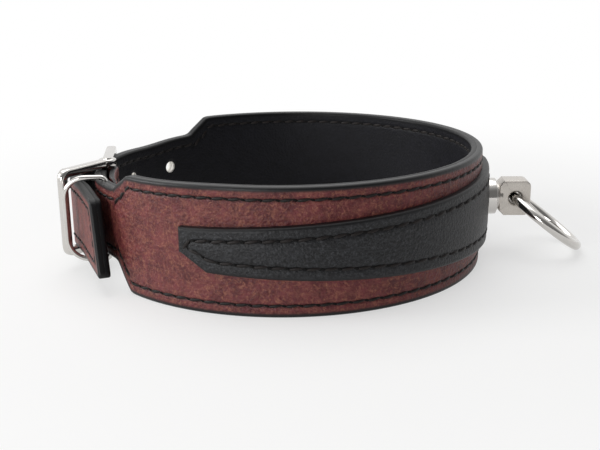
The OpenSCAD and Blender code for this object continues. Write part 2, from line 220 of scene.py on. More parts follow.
FOLD_CORNER = 0.007  # rounding of the corners of the turned-back end
TIP_CORNER = 0.002  # rounding of the corners of the tip
FRAME_CORNER = 0.0026  # rounding of the corners of the buckle's frame
SEWN_FROM = 0.006  # from the centre bar to the start of the outline that is sewn
LINING_SEWN_FROM = np.radians(208)  # plan angle past which the lining's stitches are clear of the turned-back end
THREAD_SUNK = 0.00012  # how far the thread is drawn into the leather
GLUED_EDGE = 0.00012  # rounding of the edges where two leathers are glued together


def polar(radius, turn):
    """The plan point at a radius and an angle."""
    return radius * np.array([np.cos(turn), np.sin(turn)])


def unit(rows):
    """Rows of vectors, each scaled to a length of 1."""
    return rows / np.linalg.norm(rows, axis=1)[:, None]


def distances(line):
    """How far along a polyline each of its points lies."""
    return np.concatenate([[0], np.cumsum(np.linalg.norm(np.diff(line, axis=0), axis=1))])


def on_line(where, along, line):
    """The points of a plan polyline at distances where, with its own points at distances along."""
    return np.c_[np.interp(where, along, line[:, 0]), np.interp(where, along, line[:, 1])]


def walk(route, s):
    """Plan points and right-hand normals at distances s along a route.

    A leg (centre, radius, start angle, sweep) is an arc, and its point is centre + radius * ray(angle), where the
    angle grows with s / radius. A leg (start, heading, length) is straight. The last leg goes on past its end.
    """
    s = np.asarray(s, float)
    points = np.zeros(s.shape + (2,))
    normals = np.zeros(s.shape + (2,))
    done = -np.inf
    start = 0.0
    for leg in route:
        here = (s >= done)[..., None]
        t = s - start
        if len(leg) == 4:
            centre, radius, first, sweep = leg
            way = np.sign(sweep)
            turn = first + way * t / radius
            ray = np.stack([np.cos(turn), np.sin(turn)], -1)
            points = np.where(here, centre + radius * ray, points)
            normals = np.where(here, way * ray, normals)
            start += radius * abs(sweep)
        else:
            origin, heading, reach = leg
            ahead = polar(1, heading)
            points = np.where(here, origin + t[..., None] * ahead, points)
            normals = np.where(here, np.array([ahead[1], -ahead[0]]) + 0 * points, normals)
            start += reach
        done = start
    return points, normals


def marks(route):
    """The distances at which the legs of a route start, and where the last one ends."""
    return np.cumsum([0] + [leg[1] * abs(leg[3]) if len(leg) == 4 else leg[2] for leg in route])


def tail_legs(radius):
    """The legs of a leather that follows the loop at a radius from an angle on, leaves it and bends to the tip."""
    t = sizes("tail")
    b = sizes("band")
    out = radius - b.neck_radius
    leave = t.leave + FULL
    tip_turn = leave + t.bend_sweep
    corner = polar(t.bend, tip_turn)
    bend_centre = polar(b.neck_radius - t.bend, leave) + polar(t.run, leave + np.pi / 2)
    return [
        (polar(radius, leave), leave + np.pi / 2, t.run),
        (bend_centre, t.bend + out, leave, t.bend_sweep),
        (bend_centre + corner * (t.bend + out) / t.bend, tip_turn + np.pi / 2, t.tip + t.tip_slant),
    ]


def outer_route():
    """The middle line of the outer leather: turned-back end, nose round the bar, loop, run, bend and tip."""
    t = sizes("tail")
    b = sizes("band")
    middle = b.neck_radius + b.lining + b.outer / 2
    bar = polar(t.bar_reach, t.bar_angle)
    inner = t.bar_reach - t.nose + b.outer / 2
    back_centre = polar(inner - t.turn_back, t.bar_angle)
    return [
        (back_centre, t.turn_back - b.outer / 2, t.bar_angle + t.turn_back_sweep, -t.turn_back_sweep),
        (bar, t.nose, t.bar_angle - np.pi, np.pi),
        (np.zeros(2), middle, t.bar_angle, t.leave + FULL - t.bar_angle),
    ] + tail_legs(middle)


def lining_route():
    """The middle line of the lining: loop, run, bend and tip."""
    t = sizes("tail")
    b = sizes("band")
    middle = b.neck_radius + b.lining / 2
    return [(np.zeros(2), middle, b.lining_start, t.leave + FULL - b.lining_start)] + tail_legs(middle)


def soft_step(v, start, end):
    """A straight ramp from 0 at start to 1 at end, with rounded corners: half of 1 + |t| - |t - 1|, where each |x| is
    sqrt(x * x + 0.012)."""
    t = (v - start) / (end - start)
    return 0.5 * (1 + np.sqrt(t ** 2 + 0.012) - np.sqrt((t - 1) ** 2 + 0.012))


def half_height(turn):
    """Half the height of the leather at a plan angle: strap, 45 degree shoulder, band, shoulder, strap."""
    b = sizes("band")
    wide = soft_step(turn, b.near_strap, b.near_band) - soft_step(turn, b.far_band + FULL, b.far_strap + FULL)
    return b.strap_width / 2 + wide * (b.band_width - b.strap_width) / 2


# Distances from an edge at which a leather has grid lines: close at the rounded edge and at the stitch groove.
EDGE_LINES = 0.001 * np.array([0, 0.04, 0.15, 0.35, 0.6, 0.9, 1.2, 1.6, 2.1, 2.6, 2.9, 3.15, 3.35, 3.55, 3.8, 4.05,
                               4.25, 4.45, 4.7, 5.0, 5.6, 7.0, 9.0])


def ease(v, start, end):
    """A smooth step from 0 at start to 1 at end."""
    share = np.clip((v - start) / (end - start), 0, 1)
    return share ** 2 * (3 - 2 * share)


def bell(v, middle, width):
    """A bell that is 1 at its middle and falls to 1 / e at a width on either side."""
    return np.exp(-((v - middle) / width) ** 2)


def tail_bulge(s, stops):
    """How far the tail bows out of its route between the centre bar and the keeper: a bell, 17 mm wide, in the bend."""
    return sizes("tail").bulge * bell(s, 0.6 * stops[-3] + 0.4 * stops[-2], 0.0085)


def strap_sag(s, z, stops, turn):
    """How far the leather hangs or is pushed up at places s of its route and heights z; turn is the plan angle.

    The straps stand a little high beside the shoulders and come down to the middle at the buckle. The tail comes down
    on the lower wire of the keeper and hangs on to its tip, half of its droop each, and the band's upper edge dips
    towards the buckle. Each part is a smooth step between two places.
    """
    t = sizes("tail")
    b = sizes("band")
    shoulder = ease(turn, b.near_strap, b.near_band)
    near = ease(turn, np.radians(190), b.near_strap) * (1 - shoulder)
    past = turn - b.far_strap - FULL
    settled = 1 - 0.5 * ease(past, 0, np.radians(32)) - 0.6 * bell(past, np.radians(18), np.radians(10))
    far = ease(turn, b.far_band + FULL, b.far_strap + FULL) * settled * (1 - ease(s, stops[-4], stops[-3]))
    dip = (1 - ease(turn, b.near_band, np.radians(258))) * shoulder * ease(z, MIDDLE, 2 * MIDDLE)
    keeper = stops[-3] + 0.009
    hang = ease(s, keeper - 0.012, keeper) + ease(s, keeper, stops[-1])
    return t.lift * (near + far) - t.droop * hang / 2 - b.dip * dip


def across(low, high):
    """Grid lines from a lower to an upper edge: EDGE_LINES in from both, and even ones between."""
    reach = EDGE_LINES[-1]
    low, high = low[:, None], high[:, None]
    inside = np.linspace(0, 1, 7)[None, 1:-1]
    return np.hstack([low + EDGE_LINES, low + reach + inside * (high - low - 2 * reach), high - EDGE_LINES[::-1]])


def rounded(e, thickness, radius):
    """Height of a face over the middle of a sheet, a quarter circle of that radius down to its edge at e = 0."""
    short = np.clip(radius - e, 0, radius)
    return thickness / 2 - radius + np.sqrt(radius ** 2 - short ** 2)


def new_object(name, points, faces, materials, smooth=40, **fields):
    """A mesh object at the origin, shaded smooth where its faces meet at less than an angle, with point fields."""
    mesh = bpy.data.meshes.new(name)
    mesh.from_pydata(np.asarray(points).reshape(-1, 3), [], [list(map(int, f)) for f in faces])
    for key, values in fields.items():
        mesh.attributes.new(key, "FLOAT", "POINT").data.foreach_set("value", np.ravel(values).astype(np.float32))
    for material in materials:
        mesh.materials.append(material)
    mesh.shade_smooth()
    mesh.set_sharp_from_angle(angle=np.radians(smooth))
    mesh.validate()
    obj = bpy.data.objects.new(name, mesh)
    bpy.context.scene.collection.objects.link(obj)
    return obj


def grid_faces(rows, columns, first=0, wrap_rows=False, wrap_columns=False):
    """Quads of a grid of points, rows by columns, that wraps round where asked."""
    index = first + np.arange(rows * columns).reshape(rows, columns)
    if wrap_rows:
        index = np.vstack([index, index[:1]])
    if wrap_columns:
        index = np.hstack([index, index[:, :1]])
    a, b, c, d = index[:-1, :-1], index[1:, :-1], index[1:, 1:], index[:-1, 1:]
    return np.stack([a, b, c, d], -1).reshape(-1, 4)


def sheet_solid(route, s, z, front, back):
    """A closed sheet that follows a plan route: points and faces.

    Each grid point is the route's point at s, moved along its right-hand normal by front or back, at height z. The two
    faces are joined round their border.
    """
    points, normals = walk(route, s)
    faces_out = np.dstack([points + front[..., None] * normals, z])
    faces_in = np.dstack([points + back[..., None] * normals, z])
    rows, columns = s.shape
    f = np.arange(rows * columns).reshape(rows, columns)
    k = f + rows * columns
    strip = lambda a, b, c, d: np.stack([a, b, c, d], -1)
    faces = np.vstack([
        grid_faces(rows, columns),
        grid_faces(rows, columns, rows * columns)[:, ::-1],
        strip(f[:-1, 0], k[:-1, 0], k[1:, 0], f[1:, 0]),
        strip(f[:-1, -1], f[1:, -1], k[1:, -1], k[:-1, -1]),
        strip(f[0, :-1], f[0, 1:], k[0, 1:], k[0, :-1]),
        strip(f[-1, :-1], k[-1, :-1], k[-1, 1:], f[-1, 1:]),
    ])
    return np.vstack([faces_out.reshape(-1, 3), faces_in.reshape(-1, 3)]), faces


def leather_grid(route, first_turn, rounded_start):
    """Grid distances s, heights z and edge distances e of a leather on a route that ends in the slanting tip.

    s runs from the start, whose corners are rounded where asked, to the tip, whose length grows downwards. e is the
    distance to the nearest edge.
    """
    b = sizes("band")
    t = sizes("tail")
    stops = marks(route)
    loop = 2 if rounded_start else 0
    radius = route[loop][1]
    at = lambda turn: stops[loop] + (turn - first_turn) * radius
    kinks = [at(b.near_strap), at(b.near_band), at(b.far_band + FULL), at(b.far_strap + FULL)]
    knots = np.sort(np.concatenate([stops[:-1], kinks]))
    # Short legs, such as the nose and the shoulders, have grid lines closer together.
    count = lambda d: max(3, int(np.ceil(d / (0.0006 if d < 0.009 else 0.0013))))
    s = np.concatenate([np.linspace(p, q, count(q - p), endpoint=False) for p, q in zip(knots[:-1], knots[1:])])
    head = EDGE_LINES[-1]
    s = s[s > head] if rounded_start else s
    low = MIDDLE - half_height(first_turn + (s - stops[loop]) / radius)
    z = across(low, 2 * MIDDLE - low)
    level = z[0]
    half = b.strap_width / 2
    corner = FOLD_CORNER if rounded_start else 0.0
    over = np.clip(np.abs(level - MIDDLE) - half + corner, 0, corner)
    start = corner - np.sqrt(corner ** 2 - over ** 2)
    tip = stops[-2] + t.tip + t.tip_slant * (MIDDLE + half - level) / b.strap_width
    blunt = np.clip(np.abs(level - MIDDLE) - half + TIP_CORNER, 0, TIP_CORNER)
    tip = tip - TIP_CORNER + np.sqrt(TIP_CORNER ** 2 - blunt ** 2)
    body = np.broadcast_to(s[:, None], z.shape)
    if rounded_start:
        first = start + EDGE_LINES[:-1, None] * (1 - start / head)
    else:
        first = s[0] + EDGE_LINES[1:8, None] + 0 * level
        keep = s > first[-1, 0] + 0.0004
        first = np.vstack([np.full_like(level, s[0]), first])
        body, z, s = body[keep], z[keep], s[keep]
    share = np.linspace(0, 1, 12)[1:, None]
    bend_end = stops[-2]
    ahead = np.vstack([bend_end + share * (tip - head - bend_end), tip - EDGE_LINES[:-1][::-1, None]])
    grid = np.vstack([first, body, np.full((1, level.size), bend_end), ahead])
    z = np.vstack([np.tile(level, (len(first), 1)), z, np.tile(level, (1 + len(ahead), 1))])
    turn = first_turn + (grid - stops[loop]) / radius
    near = (turn > b.near_strap) & (turn < b.near_band)
    far = (turn > b.far_band + FULL) & (turn < b.far_strap + FULL)
    sides = (half_height(turn) - np.abs(z - MIDDLE)) / np.sqrt(np.where(near | far, 2, 1))
    lean = t.tip_slant / b.strap_width
    e = np.minimum(sides, (tip - grid) / np.sqrt(1 + lean ** 2))
    if rounded_start:
        e = np.minimum(e, grid - start)
    return grid, z + strap_sag(grid, z, stops, turn), np.clip(e, 0, None), stops


def stitch_groove(e, inset, depth):
    """The line pressed into the leather where the stitches lie: a bell at the inset, 1.1 mm wide, times a depth."""
    return depth * bell(e, inset, 0.00055)


def burnished(e, reach, fade=0.0006):
    """The share of burnished black at distances e from an edge: 0 past a reach, 1 from a fade nearer."""
    return np.clip((reach - e) / fade, 0, 1)


def both_faces(field):
    """A field of a sheet's grid, for the points of its outer and of its inner face."""
    return np.tile(field.ravel(), 2)


def cut_out(obj, cutters):
    """Cuts closed meshes, given as (points, faces), out of an object for good."""
    tools = []
    for k, (points, faces) in enumerate(cutters):
        tool = new_object(f"cutter_{k}", points, faces, [obj.data.materials[-1]])
        cut = obj.modifiers.new("cut", "BOOLEAN")
        cut.operation = "DIFFERENCE"
        cut.solver = "EXACT"
        cut.object = tool
        tools.append(tool)
    before = len(obj.data.polygons)
    result = bpy.data.meshes.new_from_object(obj.evaluated_get(bpy.context.evaluated_depsgraph_get()))
    if len(result.polygons) in (0, before):
        raise RuntimeError("the holes in " + obj.name + " were not cut")
    obj.modifiers.clear()
    obj.data = result
    for tool in tools:
        bpy.data.objects.remove(tool)


def prism(low, high):
    """A closed prism between two like rings of points, which run counterclockwise seen from high: points and faces."""
    n = len(low)
    i = np.arange(n)
    j = (i + 1) % n
    return np.vstack([low, high]), [*np.stack([i, j, n + j, n + i], -1), i[::-1], n + i]


def slot_cutter(centre, along, out, long, wide, reach, lift):
    """A prism with a stadium for its section, which crosses the strap at a point: points and faces.

    The stadium is a circle of the hole's width, stretched along the strap, and the prism runs along the normal.
    """
    turn = np.linspace(0, FULL, 32, endpoint=False) + FULL / 64
    u = wide / 2 * np.cos(turn) + np.sign(np.cos(turn)) * (long - wide) / 2
    v = wide / 2 * np.sin(turn)
    ring = lambda d: np.c_[centre + u[:, None] * along + d * out, MIDDLE + lift + v]
    return prism(ring(-reach), ring(reach))


def strap_hole_cutters():
    """Cutters of the stretched hole in use and of two spare holes, spaced back along the strap."""
    t = sizes("tail")
    route = lining_route()
    cutters = []
    for k in range(3):
        point, normal = walk(route, np.array(marks(route)[1] + t.hole_place - k * t.hole_spacing))
        along = np.array([-normal[1], normal[0]])
        long, lift = (t.hole, t.spare_lift) if k else (t.hole_length, 0)
        cutters.append(slot_cutter(point, along, normal, long, t.hole, 0.009, lift))
    return cutters


def tail_axes():
    """The directions across and along the run of the tail."""
    leave = sizes("tail").leave
    return polar(1, leave), polar(1, leave + np.pi / 2)


def on_tail(across_run, along_run):
    """The plan point at a place given across and along the run of the tail."""
    x, y = tail_axes()
    return across_run * x + along_run * y


def prong_slot_cutter():
    """Cutter of the slot in the fold through which the prong passes."""
    t = sizes("tail")
    breadth, height = PRONG_SLOT
    signs = np.array([(-1, -1), (1, -1), (1, 1), (-1, 1)])
    corners = polar(t.bar_reach, t.bar_angle) + signs * breadth / 2 @ np.array(tail_axes())
    return prism(*(np.c_[corners, np.full(4, MIDDLE + side * height / 2)] for side in (-1, 1)))


def node(tree, kind, inputs=None, **settings):
    """Adds a node with its settings. An input that is a socket is linked, and any other is a value."""
    made = tree.nodes.new(kind)
    for key, value in settings.items():
        setattr(made, key, value)
    for key, value in (inputs or {}).items():
        if isinstance(value, bpy.types.NodeSocket):
            tree.links.new(value, made.inputs[key])
        else:
            made.inputs[key].default_value = value
    return made


def blank_material(name):
    """A new material with a Principled shader: the material, its tree, the shader and the Object coordinates."""
    material = bpy.data.materials.new(name)
    material.use_nodes = True
    tree = material.node_tree
    return material, tree, tree.nodes["Principled BSDF"], node(tree, "ShaderNodeTexCoord").outputs["Object"]


def per(millimetres):
    """The scale at which a texture's cells are so many millimetres across."""
    return 1000.0 / millimetres


def rgba(value, share=1.0):
    """A colour with full alpha, made darker or lighter by a share."""
    return (*(c * share for c in value), 1.0)


def mottle(tree, shader, place, millimetres, detail, first, second):
    """Blends two colours on the shader by a noise whose cells are so many millimetres across, and gives that noise."""
    noise = node(tree, "ShaderNodeTexNoise", {"Vector": place, "Scale": per(millimetres), "Detail": detail})
    blend = node(tree, "ShaderNodeMix", {0: noise.outputs["Fac"], 6: first, 7: second}, data_type="RGBA")
    tree.links.new(blend.outputs[2], shader.inputs["Base Color"])
    return noise.outputs["Fac"]


def leather(name, base, dark, light, rough, grain_mm, rubbed, rubbed_mm, gloss, relief_mm):
    """Waxed vegetable-tanned leather: clouds of dye, pale rubbed flecks and a pebbled grain under a soft shine.

    base, dark and light are its colours, rubbed is how far the flecks reach light, rubbed_mm and grain_mm are the sizes
    of flecks and grain, relief_mm is the height of the grain, and rough and gloss set the shine. The edge attribute
    turns it to the black of a burnished edge, or to the pale core where raw is set, and a third attribute paints shade
    into the line in which the stitches lie.
    """
    material, tree, shader, place = blank_material(name)
    clouds = node(tree, "ShaderNodeTexNoise", {"Vector": place, "Scale": per(5), "Detail": 6.0, "Roughness": 0.7,
                                               "Distortion": 0.4})
    cloud = node(tree, "ShaderNodeMapRange", {"Value": clouds.outputs["Fac"], "From Min": 0.34, "From Max": 0.66},
                 interpolation_type="SMOOTHSTEP")
    flecks = node(tree, "ShaderNodeTexNoise", {"Vector": place, "Scale": per(rubbed_mm), "Detail": 6.0,
                                               "Roughness": 0.7, "Distortion": 0.8})
    fleck = node(tree, "ShaderNodeMapRange", {"Value": flecks.outputs["Fac"], "From Min": 0.44, "From Max": 0.72,
                                              "To Max": rubbed}, interpolation_type="SMOOTHSTEP")
    # Hairline scuffs run along the strap: noise drawn out flat, 0.7 mm high and 9 mm long.
    drawn = node(tree, "ShaderNodeMapping", {"Vector": place, "Scale": (per(9), per(9), per(0.7))})
    scuffs = node(tree, "ShaderNodeTexNoise", {"Vector": drawn.outputs["Vector"], "Scale": 1.0, "Detail": 4.0,
                                               "Roughness": 0.6})
    scuff = node(tree, "ShaderNodeMapRange", {"Value": scuffs.outputs["Fac"], "From Min": 0.55, "From Max": 0.75,
                                              "To Max": rubbed * 0.6})
    pale = node(tree, "ShaderNodeMath", {0: fleck.outputs["Result"], 1: scuff.outputs["Result"]}, operation="MAXIMUM")
    dyed = node(tree, "ShaderNodeMix", {0: cloud.outputs["Result"], 6: rgba(dark), 7: rgba(base)}, data_type="RGBA")
    worn = node(tree, "ShaderNodeMix", {0: pale.outputs[0], 6: dyed.outputs[2], 7: rgba(light)}, data_type="RGBA")
    colours = sizes("colours")
    # Painted shade: the stitch groove is darkened towards three tenths of the dark colour.
    crease = node(tree, "ShaderNodeAttribute", attribute_name="crease").outputs["Fac"]
    pressed = node(tree, "ShaderNodeMix", {0: crease, 6: worn.outputs[2], 7: rgba(dark, 0.3)}, data_type="RGBA")
    edge = node(tree, "ShaderNodeAttribute", attribute_name="edge").outputs["Fac"]
    raw = node(tree, "ShaderNodeAttribute", attribute_name="raw").outputs["Fac"]
    rim = node(tree, "ShaderNodeMix", {0: raw, 6: rgba(colours.edge), 7: rgba(colours.raw)}, data_type="RGBA")
    finished = node(tree, "ShaderNodeMix", {0: edge, 6: pressed.outputs[2], 7: rim.outputs[2]}, data_type="RGBA")
    grain = node(tree, "ShaderNodeTexVoronoi", {"Vector": place, "Scale": per(grain_mm), "Randomness": 1.0},
                 feature="SMOOTH_F1")
    pores = node(tree, "ShaderNodeTexNoise", {"Vector": place, "Scale": per(grain_mm * 0.45), "Detail": 3.0})
    relief = node(tree, "ShaderNodeMath", {0: pores.outputs["Fac"], 1: 0.6, 2: grain.outputs["Distance"]},
                  operation="MULTIPLY_ADD")
    flat = node(tree, "ShaderNodeMapRange", {"Value": edge, "To Min": 1.0, "To Max": 0.15})
    bump = node(tree, "ShaderNodeBump", {"Height": relief.outputs[0], "Strength": flat.outputs["Result"],
                                         "Distance": relief_mm / 1000})
    shine = node(tree, "ShaderNodeMapRange", {"Value": flecks.outputs["Fac"], "From Min": 0.3, "From Max": 0.7,
                                              "To Min": rough - 0.09, "To Max": rough + 0.09})
    shine_edge = node(tree, "ShaderNodeMix", {0: edge, 2: shine.outputs["Result"], 3: 0.42})
    tree.links.new(finished.outputs[2], shader.inputs["Base Color"])
    tree.links.new(shine_edge.outputs[0], shader.inputs["Roughness"])
    tree.links.new(bump.outputs["Normal"], shader.inputs["Normal"])
    shader.inputs["Specular IOR Level"].default_value = gloss
    return material


def cut_edge_material(name):
    """The wall of a punched hole: the pale core of the leather, painted near white for the light that shows through the
    hole, with its ply.
    """
    material, tree, shader, place = blank_material(name)
    # Painted light: the walls are near white, for the light seen through the hole.
    core = sizes("colours").hole
    mottle(tree, shader, place, 0.8, 3.0, rgba(core, 0.85), rgba(core))
    shader.inputs["Roughness"].default_value = 0.75
    return material


def thread_material(name, black, rough):
    """Waxed braided thread, or dark beads of painted shade in the awl's holes: nearly black, with a fine twist across
    it.
    """
    material, tree, shader, place = blank_material(name)
    twist = mottle(tree, shader, place, 0.5, 2.0, rgba(black), rgba(black, 2.2))
    bump = node(tree, "ShaderNodeBump", {"Height": twist, "Strength": 0.6, "Distance": 0.0001})
    tree.links.new(bump.outputs["Normal"], shader.inputs["Normal"])
    shader.inputs["Roughness"].default_value = rough
    shader.inputs["Specular IOR Level"].default_value = 0.22
    return material


def steel(name, tone, rough, spread, lay):
    """Steel, mirror bright or satin: grey, with faint clouds and an uneven shine along its polishing lines.

    lay is the scale of those lines along x, y and z, so that satin steel shows them round the swivel's axis.
    """
    material, tree, shader, place = blank_material(name)
    drawn = node(tree, "ShaderNodeMapping", {"Vector": place, "Scale": lay})
    lines = node(tree, "ShaderNodeTexNoise", {"Vector": drawn.outputs["Vector"], "Scale": 1.0, "Detail": 5.0,
                                              "Roughness": 0.6})
    mottle(tree, shader, place, 5, 3.0, rgba(tone, 0.82), rgba(tone))
    shine = node(tree, "ShaderNodeMapRange", {"Value": lines.outputs["Fac"], "From Min": 0.3, "From Max": 0.7,
                                              "To Min": rough - spread, "To Max": rough + spread})
    bump = node(tree, "ShaderNodeBump", {"Height": lines.outputs["Fac"], "Strength": 0.25, "Distance": 0.00003})
    tree.links.new(shine.outputs["Result"], shader.inputs["Roughness"])
    tree.links.new(bump.outputs["Normal"], shader.inputs["Normal"])
    shader.inputs["Metallic"].default_value = 1.0
    return material


def material_of(key):
    """One of the collar's materials, made when it is first asked for."""
    c = sizes("colours")
    makers = {
        "brown bridle leather": lambda n: leather(
            n, c.brown, c.brown_dark, c.brown_light,
            rough=0.47, grain_mm=0.9, rubbed=0.68, rubbed_mm=1.3, gloss=0.3, relief_mm=0.3),
        "black bridle leather": lambda n: leather(
            n, c.black, [v * 0.5 for v in c.black], c.black_light,
            rough=0.45, grain_mm=0.8, rubbed=0.6, rubbed_mm=0.8, gloss=0.3, relief_mm=0.26),
        "black lining leather": lambda n: leather(
            n, c.lining, [v * 0.65 for v in c.lining], c.lining_light,
            rough=0.52, grain_mm=0.8, rubbed=0.35, rubbed_mm=0.9, gloss=0.18, relief_mm=0.16),
        "punched leather edge": cut_edge_material,
        "waxed thread": lambda n: thread_material(n, c.thread, rough=0.48),
        # Painted shade: the awl's holes between the stitches are matt beads in a fifth of the thread's colour.
        "awl slit": lambda n: thread_material(n, [v * 0.2 for v in c.thread], rough=0.8),
        "polished steel": lambda n: steel(n, c.steel, rough=0.13, spread=0.05, lay=(per(3), per(3), per(3))),
        "satin steel": lambda n: steel(n, c.satin, rough=0.3, spread=0.08, lay=(per(0.2), per(2), per(2))),
    }
    return bpy.data.materials.get(key) or makers[key](key)


def attach(obj, body, slot, *nodes):
    """Lets a piece ride on a body and stand for CAD nodes. The slot is not used."""
    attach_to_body(obj, body)
    if nodes:
        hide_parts(*nodes)


class COLLAR_OT_outer_leather(bpy.types.Operator):
    """Brown outer leather, from the turned-back end round the bar and the loop to the slanting tip"""
    bl_idname = "collar.outer_leather"
    bl_label = "Outer leather"

    def execute(self, context):
        b = sizes("band")
        route = outer_route()
        s, z, e, stops = leather_grid(route, sizes("tail").bar_angle, True)
        front = rounded(e, b.outer, b.edge_round) - stitch_groove(e, sizes("sewing").inset, b.groove)
        thick = b.outer - (b.outer - sizes("tail").skive) * (1 - ease(s, 0, 0.010))
        back = b.outer - thick - rounded(e, b.outer, GLUED_EDGE)
        bulge = tail_bulge(s, stops)
        points, faces = sheet_solid(route, s, z, front + bulge, back + bulge)
        # The fold is burnished only on the very edge, and its cut end is raw.
        edge = np.where(s < stops[1] + 0.004, burnished(e, 0.00015, 0.0001), burnished(e, 0.0017))
        raw = np.where(s < 0.0012, 1.0, 0.0)
        # The last field paints shade along the stitch groove.
        obj = new_object("outer_leather_skin", points, faces,
                         [material_of("brown bridle leather"), material_of("punched leather edge")],
                         edge=both_faces(edge), raw=both_faces(raw),
                         crease=both_faces(stitch_groove(e, sizes("sewing").inset, 0.85)))
        cut_out(obj, strap_hole_cutters() + [prong_slot_cutter()])
        attach(obj, "collar", "brown_leather", "outer_leather")
        return {"FINISHED"}


class COLLAR_OT_lining(bpy.types.Operator):
    """Black lining leather inside the loop and the tail"""
    bl_idname = "collar.lining"
    bl_label = "Lining"

    def execute(self, context):
        b = sizes("band")
        route = lining_route()
        s, z, e, stops = leather_grid(route, b.lining_start, False)
        front = rounded(e, b.lining, GLUED_EDGE)
        back = stitch_groove(e, sizes("sewing").inset, b.groove) - rounded(e, b.lining, b.edge_round)
        bulge = tail_bulge(s, stops)
        points, faces = sheet_solid(route, s, z, front + bulge, back + bulge)
        # The last field paints shade along the stitch groove.
        obj = new_object("lining_leather_skin", points, faces,
                         [material_of("black lining leather"), material_of("punched leather edge")],
                         edge=both_faces(burnished(e, 0.0017)),
                         crease=both_faces(stitch_groove(e, sizes("sewing").inset, 0.8)))
        cut_out(obj, strap_hole_cutters())
        attach(obj, "collar", "lining_leather", "lining_leather")
        return {"FINISHED"}


def overlay_bed():
    """The radius of the band's outer face, on which the overlay lies, and half the overlay's length on it."""
    b = sizes("band")
    radius = b.neck_radius + b.lining + b.outer
    return radius, radius * sizes("overlay").sweep


def overlay_half(s):
    """Half the height of the overlay at a distance along its middle: it falls evenly from the swivel to the ends."""
    o = sizes("overlay")
    return o.half_middle - (o.half_middle - o.half_end) * np.abs(s) / overlay_bed()[1]


def overlay_rows():
    """The far end of the overlay's stitch line as corners (s, z).

    They are the foot of the slanting row, the point and the start of the top row. Each lies in from a corner of the
    overlay by shares of the inset d.
    """
    o = sizes("overlay")
    d = sizes("sewing").overlay_inset
    reach = overlay_bed()[1]
    foot, point, top = reach - o.cut - 0.55 * d, reach - 0.55 * d, reach - 1.25 * d
    middle = MIDDLE + o.rise
    return np.array([(foot, middle - overlay_half(foot) + d), (point, middle + 0.25 * d),
                     (top, middle + overlay_half(top) - d)])


class COLLAR_OT_overlay(bpy.types.Operator):
    """Black overlay on the outside of the band, tapered towards its slanting ends"""
    bl_idname = "collar.overlay"
    bl_label = "Overlay"

    def execute(self, context):
        o = sizes("overlay")
        radius, reach = overlay_bed()
        height = 2 * o.half_end
        drop = height - o.square
        level = np.unique(np.concatenate([EDGE_LINES[EDGE_LINES < drop - 0.0004], [drop],
                                          height - EDGE_LINES[EDGE_LINES < o.square - 0.0004]]))
        end = reach - o.cut * np.clip(1 - level / drop, 0, 1)
        lines = np.concatenate([EDGE_LINES, np.linspace(EDGE_LINES[-1], reach, 110)[1:]])
        share = 1 - lines / reach
        s = np.concatenate([-share, share[::-1][1:]])[:, None] * end
        half = overlay_half(s)
        middle = MIDDLE + o.rise
        z = middle + (2 * level / height - 1) * half
        sides = half - np.abs(z - middle)
        slant = (end - np.abs(s)) / np.sqrt(1 + np.where(level < drop, o.cut / drop, 0) ** 2)
        e = np.clip(np.minimum(sides, slant), 0, None)
        inner = sides - sizes("sewing").overlay_inset
        foot, point, start = overlay_rows()
        for first, last in ((foot, point), (point, start)):
            ahead = (last - first) / np.linalg.norm(last - first)
            inner = np.minimum(inner, ahead[0] * (z - first[1]) - ahead[1] * (np.abs(s) - first[0]))
        lift = o.crown * np.clip(inner / 0.0025, 0, 1) ** 0.5
        line = stitch_groove(inner, 0, 1.0)
        front = rounded(e, o.thickness, 0.0011) - o.crown + lift - 0.00035 * line
        top = o.thickness / 2
        route = [(np.zeros(2), radius + top, -o.sweep, 2 * o.sweep)]
        along = (s + reach) * (radius + top) / radius
        points, faces = sheet_solid(route, along, z, front, np.full_like(e, -top))
        # The last field paints shade along the stitch groove.
        obj = new_object("overlay_skin", points, faces, [material_of("black bridle leather")],
                         edge=both_faces(burnished(e, 0.0012)), crease=both_faces(0.8 * line))
        attach(obj, "collar", "black_leather", "overlay_panel")
        return {"FINISHED"}


def inset_outline(outline, distance):
    """A closed outline, counterclockwise, moved inwards: each corner goes along its mitre."""
    ahead = unit(np.roll(outline, -1, 0) - outline)
    left = np.c_[-ahead[:, 1], ahead[:, 0]]
    before = np.roll(left, 1, 0)
    share = 1 + np.sum(left * before, 1)
    return outline + distance * (left + before) / share[:, None]


def stitch_places(outline, pitch, shift):
    """The middles and directions of stitches at an even pitch along a closed outline, moved by a share of the pitch."""
    closed = np.vstack([outline, outline[:1]])
    along = distances(closed)
    count = int(round(along[-1] / pitch))
    where = (np.arange(count) + shift) * along[-1] / count
    at = lambda d: on_line(d % along[-1], along, closed)
    return at(where), unit(at(where + 0.3 * pitch) - at(where - 0.3 * pitch))


